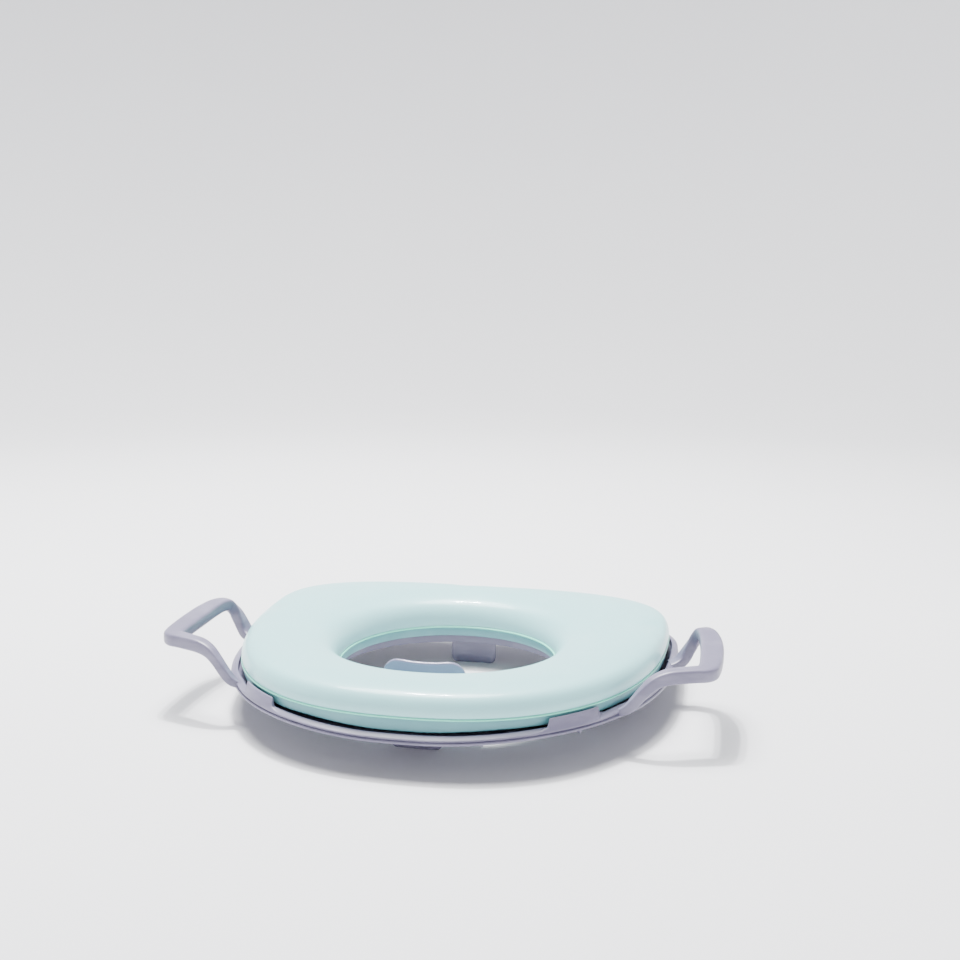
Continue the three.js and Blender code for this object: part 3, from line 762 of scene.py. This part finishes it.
skin = smooth_line(skin_lines, knots, np.linspace(0, knots[-1], skin_rows))
tucked = np.array(section_lines([
    ("hole", 4.2, 27.0), ("hole", 4.2, 25.4), ("hole", 20, 26.2), ("band", 0.5, 27.8),
    ("seam", 16, 28.8), ("seam", 4.2, 29.4), ("seam", 4.2, 31.2),
], skin_turns))
padding = draw("padding", [*skin, *tucked])
skin_top = {tuple(np.round(p, 5)) for p in skin[2:-2].reshape(-1, 3)}
mesh = padding.data
held = padding.vertex_groups.new(name="welded")
free = []
for vertex in mesh.vertices:
    if tuple(np.round(np.array(vertex.co), 5)) in skin_top:
        free.append(vertex.index)
    else:
        held.add([vertex.index], 1.0, "REPLACE")
full = np.array([vertex.co for vertex in mesh.vertices])
normals = np.array([vertex.normal for vertex in mesh.vertices])
slack_from, slack_over = 0.033, 0.008
rise = np.clip((full[:, 2] - slack_from) / slack_over, 0, 1)
loose = np.zeros(len(full))
loose[free] = 1
start = full - normals * (slack * MM * rise * loose)[:, None]
for vertex, place in zip(mesh.vertices, start):
    vertex.co = place
cloth = padding.modifiers.new("swell", "CLOTH")
cloth.settings.quality = 6
cloth.settings.mass = 0.25
cloth.settings.tension_stiffness = 20
cloth.settings.compression_stiffness = 20
cloth.settings.shear_stiffness = 10
cloth.settings.bending_stiffness = 2
cloth.settings.vertex_group_mass = "welded"
cloth.settings.use_pressure = True
cloth.settings.uniform_pressure_force = 4
cloth.settings.effector_weights.gravity = 0
cloth.point_cache.frame_start = 1
cloth.point_cache.frame_end = blow_frames
scene = bpy.context.scene
for number in range(1, blow_frames + 1):
    scene.frame_set(number)
    graph = bpy.context.evaluated_depsgraph_get()
    swollen = padding.evaluated_get(graph).data
    blown = np.array([vertex.co for vertex in swollen.vertices])
scene.frame_set(1)
padding.modifiers.remove(cloth)
move = blown - start
length = np.linalg.norm(move, axis=1, keepdims=True)
move *= np.minimum(1, swell_limit * MM / np.maximum(length, 1e-9))
full = start + move
for vertex, place in zip(mesh.vertices, full):
    vertex.co = place
bpy.ops.object.select_all(action="DESELECT")
padding.select_set(True)
bpy.context.view_layer.objects.active = padding
round_off = padding.modifiers.new("round_off", "SUBSURF")
round_off.levels = round_off.render_levels = 1
bpy.ops.object.modifier_apply(modifier=round_off.name)
smooth(padding, 60)
skin_finish = Finish("mint_skin", {
    "IOR": 1.46, "Coat Weight": 0.5, "Coat Roughness": 0.1, "Coat IOR": 1.45})
skin_clouds = skin_finish.noise(7, 4, 0.55)
skin_patches = skin_finish.noise(38, 3, 0.6)
skin_fine = skin_finish.noise(1500, 3, 0.6)
skin_cells = skin_finish.add("ShaderNodeTexVoronoi", {"feature": "SMOOTH_F1"}, {
    "Vector": skin_finish.place, "Scale": 950, "Smoothness": 0.6, "Randomness": 1.0})
skin_dips = skin_finish.noise(45, 2, 0.4)
skin_colour = skin_finish.mix(skin_clouds, tint(152, 211, 214), tint(162, 219, 221))
skin_colour = skin_finish.mix(skin_finish.mask(skin_patches, 0.5, 0.8) * 0.3, skin_colour,
                              tint(180, 226, 226))
skin_colour = skin_finish.mix(skin_finish.mask(skin_cells, 0.3, 0.7) * 0.1, skin_colour,
                              tint(150, 205, 208))
skin_rough = 0.36 + skin_clouds * 0.05 + skin_patches * 0.06 + skin_fine * 0.05
skin_normal = skin_finish.bump(skin_dips, 0.0006, 0.03)
skin_normal = skin_finish.bump(skin_cells + skin_fine * 0.5, 0.00005, 0.14, skin_normal)
mint_skin = skin_finish.show(Base_Color=skin_colour, Roughness=skin_rough, Normal=skin_normal)
padding.data.materials.append(mint_skin)
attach(padding, "ring")
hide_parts("cushion_skin", "cushion_foam")


# Welts: a thin round bead of brighter mint covers the joint between skin and backing, one
# round the outer wall and one round the hole.
welt_finish = Finish("welt_mint", {"IOR": 1.47, "Coat Weight": 0.3, "Coat Roughness": 0.2})
welt_noise = welt_finish.noise(240, 3, 0.6)
welt_grain = welt_finish.noise(1800, 2, 0.6)
welt_edge_sheen = welt_finish.add("ShaderNodeAttribute", {"attribute_name": "edge_bulge"}, output="Fac")
welt_colour = welt_finish.mix(welt_noise, tint(112, 226, 198), tint(126, 234, 208))
# Paler where the bead bulges: a painted highlight.
welt_colour = welt_finish.mix(welt_edge_sheen * 0.2, welt_colour, tint(170, 242, 224))
welt_mint = welt_finish.show(Base_Color=welt_colour, Roughness=0.3 + welt_noise * 0.12,
                             Normal=welt_finish.bump(welt_grain, 0.00005, 0.3))
bead_sides, bead_inset = 12, 0.25
bead_half_width, bead_half_height = 0.68, 0.6
for name, node, edge, level in (("welt_outer", "seam_outer", "seam", 32.7),
                                ("welt_inner", "seam_inner", "hole", 28.1)):
    bead = []
    for a in np.linspace(0, 2 * math.pi, bead_sides, endpoint=False):
        across, upright = bead_half_width * math.cos(a), bead_half_height * math.sin(a)
        bead.append((edge, bead_inset + across, level + upright))
    welt = draw(name, section_lines(bead, ring_columns))
    smooth(welt, 60)
    welt.data.materials.append(welt_mint)
    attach(welt, "ring")
    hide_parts(node)


# Studio: a plain pale paper floor that sweeps up into a wall all round, one broad soft light
# overhead, two small bright lamps beside it, and a dim pale sky.
flat_radius, bend_radius, bend_steps = 1.3, 0.9, 10
bpy.ops.object.select_all(action="DESELECT")
bpy.ops.mesh.primitive_circle_add(
    vertices=96, radius=flat_radius, fill_type="NGON", location=(0, 0, 0))
floor = bpy.context.object
floor.name = floor.data.name = "studio_floor"
bpy.ops.object.mode_set(mode="EDIT")
mesh = bmesh.from_edit_mesh(floor.data)
for face in mesh.faces:
    face.select = False
for edge in mesh.edges:
    edge.select = True
bmesh.update_edit_mesh(floor.data)
reach, level = flat_radius, 0.0
for step in range(1, bend_steps + 1):
    angle = math.radians(90 / bend_steps * step)
    next_reach = flat_radius + bend_radius * math.sin(angle)
    next_level = bend_radius * (1 - math.cos(angle))
    bpy.ops.mesh.extrude_edges_move()
    share = next_reach / reach
    bpy.ops.transform.resize(value=(share, share, 1), center_override=(0, 0, level))
    bpy.ops.transform.translate(value=(0, 0, next_level - level))
    reach, level = next_reach, next_level
bpy.ops.object.mode_set(mode="OBJECT")
smooth(floor, 60)
floor_finish = Finish("studio_paper", {"Roughness": 0.9, "Specular IOR Level": 0.2})
floor_clouds = floor_finish.noise(3, 2, 0.5)
floor_colour = floor_finish.mix(floor_clouds, tint(222, 222, 225), tint(227, 227, 229))
floor.data.materials.append(floor_finish.show(Base_Color=floor_colour))

world = bpy.data.worlds.new("studio_sky")
bpy.context.scene.world = world
world.use_nodes = True
sky = world.node_tree.nodes["Background"]
sky.inputs["Color"].default_value = (0.94, 0.96, 1.0, 1)
sky.inputs["Strength"].default_value = 0.56
seat_middle = Vector((0, 0, 0.04))
for name, place, size, power in (
        ("overhead_light", (-0.3, 0.35, 1.7), 1.1, 92),
        ("left_lamp", (-0.33, 0.45, 1.6), 0.07, 26),
        ("right_lamp", (-0.2, 0.45, 1.6), 0.07, 26),
):
    bpy.ops.object.select_all(action="DESELECT")
    bpy.ops.object.light_add(type="AREA", location=place)
    light = bpy.context.object
    light.name = light.data.name = name
    light.data.shape = "DISK"
    light.data.size = size
    light.data.energy = power
    towards_seat = seat_middle - Vector(place)
    light.rotation_euler = towards_seat.to_track_quat("-Z", "Y").to_euler()
